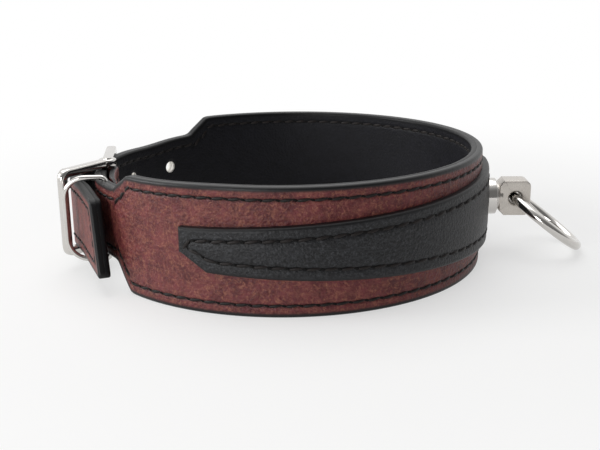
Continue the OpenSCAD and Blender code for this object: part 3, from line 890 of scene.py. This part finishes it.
def beads(route, places, ahead, lift, side, long, wide, high, lean):
    """Points and faces of beads at places (s, z) of a route, on the face at a height over its middle line.

    One bead has six sections with six points each: its half width follows sqrt(1.03 - t * t) along its length, where t
    runs from -1 to 1, and both ends dip under the leather. It leans from the line by an angle.
    """
    centre, normal = walk(route, places[:, 0])
    tangent = np.c_[-normal[:, 1], normal[:, 0], np.zeros(len(normal))]
    out = np.c_[normal, np.zeros(len(normal))] * side
    lean = np.cos(lean) * ahead + np.sin(lean) * np.c_[-ahead[:, 1], ahead[:, 0]]
    along = lean[:, :1] * tangent + lean[:, 1:] * Z
    across_bead = np.cross(out, along)
    base = np.c_[centre, places[:, 1]] + out * np.reshape(lift, (-1, 1))
    t = np.array([-1.0, -0.78, -0.3, 0.3, 0.78, 1.0])
    turn = np.arange(6) * FULL / 6
    swell = np.sqrt(1.03 - t ** 2)
    x = np.repeat(t * long / 2, 6)
    y = (swell[:, None] * np.cos(turn)).ravel() * wide / 2
    h = ((swell[:, None] * np.sin(turn)) * 0.9 - 0.55 * np.abs(t[:, None]) ** 3 + 0.15).ravel() * high / 2
    points = base[:, None] + x[:, None] * along[:, None] + y[:, None] * across_bead[:, None] + h[:, None] * out[:, None]
    first = 36 * np.arange(len(places))[:, None, None]
    sides = grid_faces(6, 6, wrap_columns=True)[:, ::-1] + first
    ends = np.array([np.arange(6)[::-1], np.arange(30, 36)]) + first
    return points.reshape(-1, 3), list(sides.reshape(-1, 4)) + list(ends.reshape(-1, 6))


def saddle_stitch(route, outline, lift, side, sag=None, keep=None, bulge=None):
    """Stitches along a closed outline (s, z), and dark beads of painted shade between them, as two (points, faces).

    A stitch leans a little from the line, and a slit lies the other way across it, half a pitch on. They lie on the
    face at a height over the route's middle line, on one side of it. Where they are given, keep picks the places that
    are sewn, sag moves them up or down and bulge moves them out with the leather.
    """
    w = sizes("sewing")
    made = []
    for shift, long, wide, high, lean in ((0.5, w.stitch, w.thread, w.thread, w.lean),
                                          (0.0, w.slit, w.thread * 0.8, w.thread * 0.6, -2.6 * w.lean)):
        places, ahead = stitch_places(outline, w.pitch, shift)
        kept = keep(places) if keep else np.full(len(places), True)
        if sag:
            places[:, 1] += sag(places)
        height = lift + side * bulge(places[kept]) if bulge else lift
        made.append(beads(route, places[kept], ahead[kept], height, side, long, wide, high, lean * side))
    return made


def join(parts):
    """Several (points, faces) as one."""
    offsets = np.cumsum([0] + [len(p) for p, f in parts])
    faces = [np.asarray(face) + o for (p, f), o in zip(parts, offsets) for face in f]
    return np.vstack([p for p, f in parts]), faces


class COLLAR_OT_sewing(bpy.types.Operator):
    """Saddle stitch in black waxed thread along the edges of the band, the strap and the overlay"""
    bl_idname = "collar.sewing"
    bl_label = "Sewing"

    def execute(self, context):
        b = sizes("band")
        t = sizes("tail")
        w = sizes("sewing")
        o = sizes("overlay")
        route = outer_route()
        stops = marks(route)
        loop_radius = route[2][1]
        at = lambda turn: stops[2] + (turn - t.bar_angle) * loop_radius
        half, full = b.strap_width / 2, b.band_width / 2
        s0 = at(t.bar_angle) + SEWN_FROM
        lower = [(s0, -half), (at(b.near_strap), -half), (at(b.near_band), -full), (at(b.far_band + FULL), -full),
                 (at(b.far_strap + FULL), -half), (stops[-1], -half)]
        upper = [(s, -z) for s, z in lower[:-1]] + [(stops[-2] + t.tip, half)]
        outline = np.array(lower + upper[::-1])
        outline[:, 1] += MIDDLE
        turn = lambda places: t.bar_angle + (places[:, 0] - stops[2]) / loop_radius
        sag = lambda places: strap_sag(places[:, 0], places[:, 1], stops, turn(places))
        free = lambda places: turn(places) > LINING_SEWN_FROM
        line = inset_outline(outline, w.inset)
        level = b.outer / 2 - b.groove * 0.9 - THREAD_SUNK
        bulge = lambda places: tail_bulge(places[:, 0], stops)
        rows = [saddle_stitch(route, line, level, 1, sag, None, bulge),
                saddle_stitch(route, line, level + b.lining, -1, sag, free, bulge)]
        low, high = 0.001, stops[1] - 0.001
        back = np.array([(low, -half), (high, -half), (high, half), (low, half)])
        back[:, 1] += MIDDLE
        rows.append(saddle_stitch(route, inset_outline(back, w.inset), level, 1))
        self.sew("band", rows)

        radius, reach = overlay_bed()
        tall = overlay_half(0.0) - w.overlay_inset
        middle = MIDDLE + o.rise
        right = [(0, middle - tall), *overlay_rows(), (0, middle + tall)]
        outline = np.array(right + [(-u, v) for u, v in right[-2:0:-1]])
        outline[:, 0] += reach
        route = [(np.zeros(2), radius, -o.sweep, 2 * o.sweep)]
        clear = lambda places: np.abs(places[:, 0] - reach) > 0.001
        self.sew("overlay", [saddle_stitch(route, outline, o.thickness - o.crown - 0.0003, 1, keep=clear)])
        return {"FINISHED"}

    def sew(self, name, rows):
        """Makes the stitches of several rows, and the beads of painted shade between them, two pieces on the collar."""
        # The second kind is the beads of painted shade in the awl's holes.
        for kind, k, material in (("stitches", 0, "waxed thread"), ("painted_slit_shades", 1, "awl slit")):
            obj = new_object(name + "_" + kind, *join([row[k] for row in rows]), [material_of(material)], smooth=80)
            attach(obj, "collar", "black_leather")


def skin(grid, closed):
    """Points and faces of rings of points, joined to a tube that closes on itself or ends in flat caps."""
    rings, points = grid.shape[:2]
    faces = list(grid_faces(rings, points, wrap_rows=closed, wrap_columns=True)[:, ::-1])
    if not closed:
        faces += [np.arange(points)[::-1], (rings - 1) * points + np.arange(points)]
    return grid.reshape(-1, 3), faces


def tube(path, side, half_wide, half_thick, power=2.0, closed=True, points=24):
    """A rod along a path: points and faces.

    Its section is a superellipse, |a / half_wide| ** power + |b / half_thick| ** power = 1, where a runs along side and
    b along the cross product of the path's direction and side. An open rod ends in flat caps.
    """
    ahead = unit(np.roll(path, -1, 0) - np.roll(path, 1, 0) if closed else np.gradient(path, axis=0))
    side = unit(side - np.sum(side * ahead, 1)[:, None] * ahead)
    other = np.cross(ahead, side)
    turn = np.arange(points) * FULL / points
    power = np.broadcast_to(power, len(path))[:, None]
    a = np.sign(np.cos(turn)) * np.abs(np.cos(turn)) ** (2 / power) * np.reshape(half_wide, (-1, 1))
    c = np.sign(np.sin(turn)) * np.abs(np.sin(turn)) ** (2 / power) * np.reshape(half_thick, (-1, 1))
    grid = path[:, None] + a[..., None] * side[:, None] + c[..., None] * other[:, None]
    return skin(grid, closed)


def rounded_loop(width, height, radii, step=0.0004):
    """A closed rectangle with rounded corners, counterclockwise from its lower left: points at an even step.

    radii are those of the corners lower left, lower right, upper right and upper left.
    """
    corners = np.array([(0, 0), (width, 0), (width, height), (0, height)])
    signs = np.array([(1, 1), (-1, 1), (-1, -1), (1, -1)])
    arcs = []
    for k, (corner, sign, r) in enumerate(zip(corners, signs, radii)):
        turn = np.pi + k * np.pi / 2 + np.linspace(0, np.pi / 2, 17)
        arcs.append(corner + r * sign + r * np.c_[np.cos(turn), np.sin(turn)])
    bare = np.vstack(arcs + [arcs[0][:1]])
    along = distances(bare)
    return on_line(np.linspace(0, along[-1], int(along[-1] / step), endpoint=False), along, bare)


def turned_about(profile, origin, axis, first, second, points=64, closed=False):
    """A body turned on an axis from a profile of (along, radius): points and faces.

    Each point is origin + along * axis + radius * (cos * first + sin * second). A closed profile is a ring, and an open
    one has flat ends.
    """
    turn = np.arange(points) * FULL / points
    ray = np.cos(turn)[:, None] * first + np.sin(turn)[:, None] * second
    grid = origin + profile[:, 0, None, None] * axis + profile[:, 1, None, None] * ray
    return skin(grid, closed)


def soft_profile(corners, soft):
    """A profile whose inner corners are rounded.

    A corner c becomes the curve (1 - t) ** 2 * p + 2 * t * (1 - t) * c + t ** 2 * q, with t from 0 to 1, between points
    p and q that lie a soft distance before and after it, or at most 0.45 of the way to the next corner.
    """
    corners = np.array(corners, float)
    rows = [corners[:1]]
    for a, c, d in zip(corners[:-2], corners[1:-1], corners[2:]):
        r = min(soft, 0.45 * np.linalg.norm(a - c), 0.45 * np.linalg.norm(d - c))
        p = c + r * (a - c) / np.linalg.norm(a - c)
        q = c + r * (d - c) / np.linalg.norm(d - c)
        t = np.linspace(0, 1, 6)[:, None]
        rows.append((1 - t) ** 2 * p + 2 * t * (1 - t) * c + t ** 2 * q)
    rows.append(corners[-1:])
    return np.vstack(rows)


class COLLAR_OT_buckle(bpy.types.Operator):
    """Polished buckle: frame with two end bars and bosses, centre bar and prong"""
    bl_idname = "collar.buckle"
    bl_label = "Buckle"

    def execute(self, context):
        k = sizes("buckle")
        steel_bright = material_of("polished steel")
        bar = polar(sizes("tail").bar_reach, sizes("tail").bar_angle)
        plan = np.array([on_tail(*NEAR_BAR), bar, on_tail(*TOE_BAR)])
        along = distances(plan)
        total = along[-1]
        loop = rounded_loop(total, k.upper - k.lower, [FRAME_CORNER] * 4)
        # A running mean rounds the plan where it bends at the centre bar.
        fine = np.linspace(-0.001, total + 0.001, 400)
        window = np.hanning(31)
        smooth = np.c_[[np.convolve(np.pad(row, 15, "edge"), window / window.sum(), "valid")
                        for row in on_line(fine, along, plan).T]].T
        place_at = lambda q: on_line(q, fine, smooth)
        path = np.c_[place_at(loop[:, 0]), k.lower + loop[:, 1]]
        inside = np.clip(loop[:, 0], 0.0015, total - 0.0015)
        step = place_at(inside + 0.001) - place_at(inside - 0.001)
        side = np.c_[step[:, 1], -step[:, 0], np.zeros(len(step))]
        # The flat side plates turn into round end bars.
        upright = ease(np.minimum(loop[:, 0], total - loop[:, 0]), 0.0035, 0)
        half_size = lambda plate: plate / 2 * (1 - upright) + k.end_bar * upright
        rod = tube(path, side, half_size(k.side_width), half_size(k.side_thickness), power=2 + 4 * (1 - upright))
        thin = k.side_thickness / 2
        disc = soft_profile([(-thin, 0.0004), (-thin, k.boss), (thin, k.boss), (thin, 0.0004)], 0.0009)
        bosses = [turned_about(disc, np.array([*bar, h]), Z, X, Y) for h in (k.lower, k.upper)]
        obj = new_object("buckle_frame_cast", *join([rod] + bosses), [steel_bright])
        attach(obj, "buckle", "polished_steel", "buckle_frame")

        centre = on_tail(*PRONG_CENTRE)
        x, y = tail_axes()
        t = np.linspace(PRONG_SWEEP, 0, 50)
        ray = np.cos(t)[:, None] * x + np.sin(t)[:, None] * y
        straight = np.linspace(0, PRONG_STRAIGHT, 24)[1:, None]
        flat = np.vstack([centre + PRONG_RADIUS * ray, centre + PRONG_RADIUS * x - straight * y])
        out = np.vstack([ray, np.tile(x, (len(straight), 1))])
        path = np.c_[flat, np.full(len(flat), MIDDLE)]
        # The free end is rounded over its last 1.4 mm.
        left = np.linalg.norm(path - path[-1], axis=1)
        swell = np.sqrt(np.clip(1 - (1 - np.clip(left / 0.0014, 0, 1)) ** 2, 0.02, 1))
        arm = tube(path, np.c_[out, np.zeros(len(path))], k.prong_thickness / 2 * swell, k.prong_width / 2 * swell,
                   power=2.6, closed=False)
        inner = sizes("tail").nose - sizes("band").outer / 2
        half = k.prong_width / 2
        outline = np.array([(-half, inner), (-half, k.eye), (half, k.eye), (half, inner)])
        ring = soft_profile(np.vstack([outline[-1:] * [0, 1], outline, outline[-1:] * [0, 1]]), 0.0005)
        eye = turned_about(ring[:-1], np.array([*bar, MIDDLE]), Z, X, Y, closed=True)
        obj = new_object("prong_cast", *join([arm, eye]), [steel_bright])
        attach(obj, "prong", "polished_steel", "buckle_prong")
        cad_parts["centre_bar"].material_slots[0].material = steel_bright
        return {"FINISHED"}


class COLLAR_OT_keeper(bpy.types.Operator):
    """Wire keeper: a round wire bent to a D with wide outer corners and tight inner ones"""
    bl_idname = "collar.keeper"
    bl_label = "Keeper"

    def execute(self, context):
        k = sizes("buckle")
        low, high = KEEPER_HEIGHTS
        loop = rounded_loop(k.keeper_depth, high - low, KEEPER_CORNERS)
        path = np.c_[KEEPER_FOOT + loop[:, :1] * polar(1, k.keeper_direction), low + loop[:, 1]]
        side = np.tile([*polar(1, k.keeper_direction + np.pi / 2), 0.0], (len(path), 1))
        wire = tube(path, side, k.keeper_wire / 2, k.keeper_wire / 2, points=20)
        obj = new_object("keeper_wire", *wire, [material_of("polished steel")])
        attach(obj, "keeper", "polished_steel", "keeper_loop")
        return {"FINISHED"}


def pierced_block(contour, hole, radius, half, soft, sunk):
    """A block of an upright contour in x and z with a round hole along Y: points and faces.

    Its section goes once round: up the hole's wall, over its rim, across the face from the hole to the contour, over
    the edge, down the outer wall and back. Contour and rim have the same number of points.
    """
    rim = unit(contour - hole)
    ahead = unit(np.roll(contour, -1, 0) - np.roll(contour, 1, 0))
    out = np.c_[ahead[:, 1], -ahead[:, 0]]
    q = np.linspace(0, np.pi / 2, 6)
    rings = [(hole + (radius + sunk * (1 - np.cos(a))) * rim, half - sunk * (1 - np.sin(a))) for a in q]
    rings += [(contour - soft * (1 - np.sin(a)) * out, half - soft * (1 - np.cos(a))) for a in q]
    rings += [(p, -h) for p, h in rings[::-1]]
    return skin(np.stack([np.c_[p[:, 0], np.full(len(p), h), MIDDLE + p[:, 1]] for p, h in rings]), True)


class COLLAR_OT_swivel(bpy.types.Operator):
    """Swivel: polished flange and washer on the overlay, and the satin head with its cross hole"""
    bl_idname = "collar.swivel"
    bl_label = "Swivel"

    def execute(self, context):
        w = sizes("swivel")
        satin = material_of("satin steel")
        for piece, (low, high), radius, soft in (("swivel_flange", FLANGE_FACES, w.flange / 2, w.edge * 1.6),
                                                 ("swivel_washer", WASHER_FACES, WASHER_RADIUS, 0.0002)):
            profile = soft_profile([(low, POST_RADIUS), (low, radius), (high, radius), (high, POST_RADIUS)], soft)
            body = turned_about(profile, MIDDLE * Z, X, Y, Z)
            obj = new_object(piece + "_turned", *body, [material_of("polished steel")])
            attach(obj, "collar", "polished_steel", piece)

        left, right = HEAD_START, HEAD_START + w.head_length
        up, ch, rr = w.head_height / 2, w.head_chamfer, w.head_round
        q = np.linspace(0, np.pi / 2, 9)
        low = np.c_[right - rr + rr * np.sin(q), -up + rr - rr * np.cos(q)]
        high = np.c_[right - rr + rr * np.cos(q), up - rr + rr * np.sin(q)]
        bare = np.vstack([[(left, up - ch), (left, -up + ch), (left + ch, -up)], low, high, [(left + ch, up)]])
        closed = np.vstack([bare, bare[:1]])
        along = distances(closed)
        even = np.sort(np.concatenate([np.linspace(0, along[-1], 120, endpoint=False), along[:-1]]))
        even = even[np.concatenate([[True], np.diff(even) > 1e-5])]
        contour = on_line(even, along, closed)
        block = pierced_block(contour, np.array([CROSS_HOLE, 0]), CROSS_HOLE_RADIUS, w.head_thickness / 2, w.edge,
                              w.countersink)
        obj = new_object("swivel_head_milled", *block, [satin])
        attach(obj, "swivel", "satin_steel", "swivel_head")
        for name in ("swivel_post", "swivel_collar"):
            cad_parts[name].material_slots[0].material = satin
        return {"FINISHED"}


class COLLAR_OT_ring(bpy.types.Operator):
    """Polished leash ring of round wire, hanging in the head's cross hole"""
    bl_idname = "collar.ring"
    bl_label = "Leash ring"

    def execute(self, context):
        w = sizes("swivel")
        droop = np.array([np.cos(w.ring_droop), 0, -np.sin(w.ring_droop)])
        centre = np.array([CROSS_HOLE, 0, MIDDLE]) + RING_REACH * droop
        turn = np.linspace(0, FULL, 180, endpoint=False)[:, None]
        ray = np.cos(turn) * droop + np.sin(turn) * Y
        wire = tube(centre + w.ring_radius * ray, ray, w.ring_wire / 2, w.ring_wire / 2, points=32)
        obj = new_object("leash_ring_wire", *wire, [material_of("polished steel")])
        attach(obj, "ring", "polished_steel", "leash_ring")
        return {"FINISHED"}


def floor_material():
    """Matt white paper: the camera and the metal see it almost white, fully white from 30 cm out, and it keeps a soft
    shadow."""
    material, tree, shader, place = blank_material("white paper")
    white = sizes("colours").floor
    mottle(tree, shader, place, 60, 2.0, rgba(white), rgba(white, 0.985))
    shader.inputs["Roughness"].default_value = 0.7
    ray = node(tree, "ShaderNodeLightPath").outputs
    seen = node(tree, "ShaderNodeMath", {0: ray["Is Camera Ray"], 1: ray["Is Glossy Ray"]}, operation="MAXIMUM")
    shown = node(tree, "ShaderNodeMath", {0: seen.outputs[0], 1: ray["Is Transmission Ray"]}, operation="MAXIMUM")
    reach = node(tree, "ShaderNodeVectorMath", {0: place}, operation="LENGTH")
    far = node(tree, "ShaderNodeMapRange", {"Value": reach.outputs["Value"], "From Min": 0.1, "From Max": 0.3,
                                            "To Min": 0.58, "To Max": 1.0}, interpolation_type="SMOOTHSTEP")
    share = node(tree, "ShaderNodeMath", {0: far.outputs["Result"], 1: shown.outputs[0]}, operation="MULTIPLY")
    glow = node(tree, "ShaderNodeEmission", {"Color": (1, 1, 1, 1), "Strength": 1.0})
    mixed = node(tree, "ShaderNodeMixShader", {0: share.outputs[0], 1: shader.outputs[0], 2: glow.outputs[0]})
    tree.links.new(mixed.outputs[0], tree.nodes["Material Output"].inputs["Surface"])
    return material


def stand(right, above, back, spot):
    """The matrix that puts an object at a spot, with its X, Y and Z axes along three directions."""
    return Matrix([[right[i], above[i], back[i], spot[i]] for i in range(3)] + [[0, 0, 0, 1]])


class COLLAR_OT_stage(bpy.types.Operator):
    """White floor, soft light and the camera at the photograph's angle"""
    bl_idname = "collar.stage"
    bl_label = "Stage"

    def execute(self, context):
        scene = context.scene
        floor = new_object("floor", [(-4, -4, 0), (4, -4, 0), (4, 4, 0), (-4, 4, 0)], [(0, 1, 2, 3)],
                           [floor_material()])

        world = bpy.data.worlds.new("white studio")
        scene.world = world
        world.use_nodes = True
        tree = world.node_tree
        background = tree.nodes["Background"]
        ray = node(tree, "ShaderNodeLightPath").outputs
        # The room is dim behind the camera and to its right, which gives the metal its dark streaks.
        way = node(tree, "ShaderNodeVectorMath", {0: node(tree, "ShaderNodeTexCoord").outputs["Generated"],
                                                  1: (-0.35, 0.94, 0.0)}, operation="DOT_PRODUCT")
        room = node(tree, "ShaderNodeMapRange", {"Value": way.outputs["Value"], "From Min": -0.8, "From Max": 0.1,
                                                 "To Min": 0.2, "To Max": 1.0}, interpolation_type="SMOOTHSTEP")
        clear = node(tree, "ShaderNodeMath", {0: ray["Is Glossy Ray"], 1: ray["Is Transmission Ray"]},
                     operation="MAXIMUM")
        lit = node(tree, "ShaderNodeMix", {0: clear.outputs[0], 2: 0.17, 3: room.outputs["Result"]})
        level = node(tree, "ShaderNodeMath", {0: ray["Is Camera Ray"], 1: lit.outputs[0]}, operation="MAXIMUM")
        background.inputs["Color"].default_value = (1, 1, 1, 1)
        tree.links.new(level.outputs[0], background.inputs["Strength"])

        for name, spot, aim, size, power in (
            ("overhead", (-0.15, 0.3, 1.1), (0.0, 0.0, 0.0), 1.2, 8.5),
            ("window", (-0.97, -0.1, 0.4), (-0.02, -0.02, 0.02), 0.42, 5.2),
            ("fill", (-0.5, -1.0, 0.19), (0.0, 0.0, 0.02), 0.34, 4.5),
        ):
            data = bpy.data.lights.new(name, "AREA")
            data.shape = "SQUARE"
            data.size = size
            data.energy = power
            lamp = bpy.data.objects.new(name, data)
            away = np.array(spot) - np.array(aim)
            away /= np.linalg.norm(away)
            right = np.cross(Z + 1e-3 * X, away)
            right /= np.linalg.norm(right)
            above = np.cross(away, right)
            lamp.matrix_world = stand(right, above, away, spot)
            scene.collection.objects.link(lamp)

        pitch, yaw, roll = 0.2819, -0.0253, 0.0103
        right = np.array([np.cos(yaw), -np.sin(yaw), 0])
        ahead = np.array([np.sin(yaw) * np.cos(pitch), np.cos(yaw) * np.cos(pitch), -np.sin(pitch)])
        above = np.array([np.sin(yaw) * np.sin(pitch), np.cos(yaw) * np.sin(pitch), np.cos(pitch)])
        across_view = np.cos(roll) * right - np.sin(roll) * above
        up_view = np.sin(roll) * right + np.cos(roll) * above
        eye = (0.01216, -0.32669, 0.10387)
        data = bpy.data.cameras.new("camera")
        data.sensor_fit = "HORIZONTAL"
        data.sensor_width = 36
        data.lens = 56.0
        data.clip_start = 0.01
        camera = bpy.data.objects.new("camera", data)
        camera.matrix_world = stand(across_view, up_view, -ahead, eye)
        scene.collection.objects.link(camera)
        scene.camera = camera
        scene.view_settings.view_transform = "Standard"
        return {"FINISHED"}


GROUPS = {"band": CollarBand, "tail": CollarTail, "overlay": CollarOverlay, "sewing": CollarSewing,
          "buckle": CollarBuckle, "swivel": CollarSwivel, "colours": CollarColours}
OPERATORS = (COLLAR_OT_stage, COLLAR_OT_outer_leather, COLLAR_OT_lining, COLLAR_OT_overlay, COLLAR_OT_sewing,
             COLLAR_OT_buckle, COLLAR_OT_keeper, COLLAR_OT_swivel, COLLAR_OT_ring)


class COLLAR_PT_sidebar(bpy.types.Panel):
    """The collar's sizes, colours and pieces"""
    bl_idname = "COLLAR_PT_sidebar"
    bl_label = "Leather buckle collar"
    bl_space_type = "VIEW_3D"
    bl_region_type = "UI"
    bl_category = "Collar"

    def draw(self, context):
        for operator in OPERATORS:
            self.layout.operator(operator.bl_idname)
        for key, group in GROUPS.items():
            box = self.layout.box()
            box.label(text=group.__doc__)
            for prop in group.__annotations__:
                box.prop(sizes(key), prop)


def register():
    for group in (*GROUPS.values(), *OPERATORS, COLLAR_PT_sidebar):
        bpy.utils.register_class(group)
    for key, group in GROUPS.items():
        setattr(bpy.types.Scene, "collar_" + key, PointerProperty(type=group))


def unregister():
    for key in GROUPS:
        delattr(bpy.types.Scene, "collar_" + key)
    for group in (COLLAR_PT_sidebar, *OPERATORS[::-1], *list(GROUPS.values())[::-1]):
        bpy.utils.unregister_class(group)


def main():
    register()
    for operator in OPERATORS:
        family, name = operator.bl_idname.split(".")
        getattr(getattr(bpy.ops, family), name)()


if __name__ == "__main__":
    main()
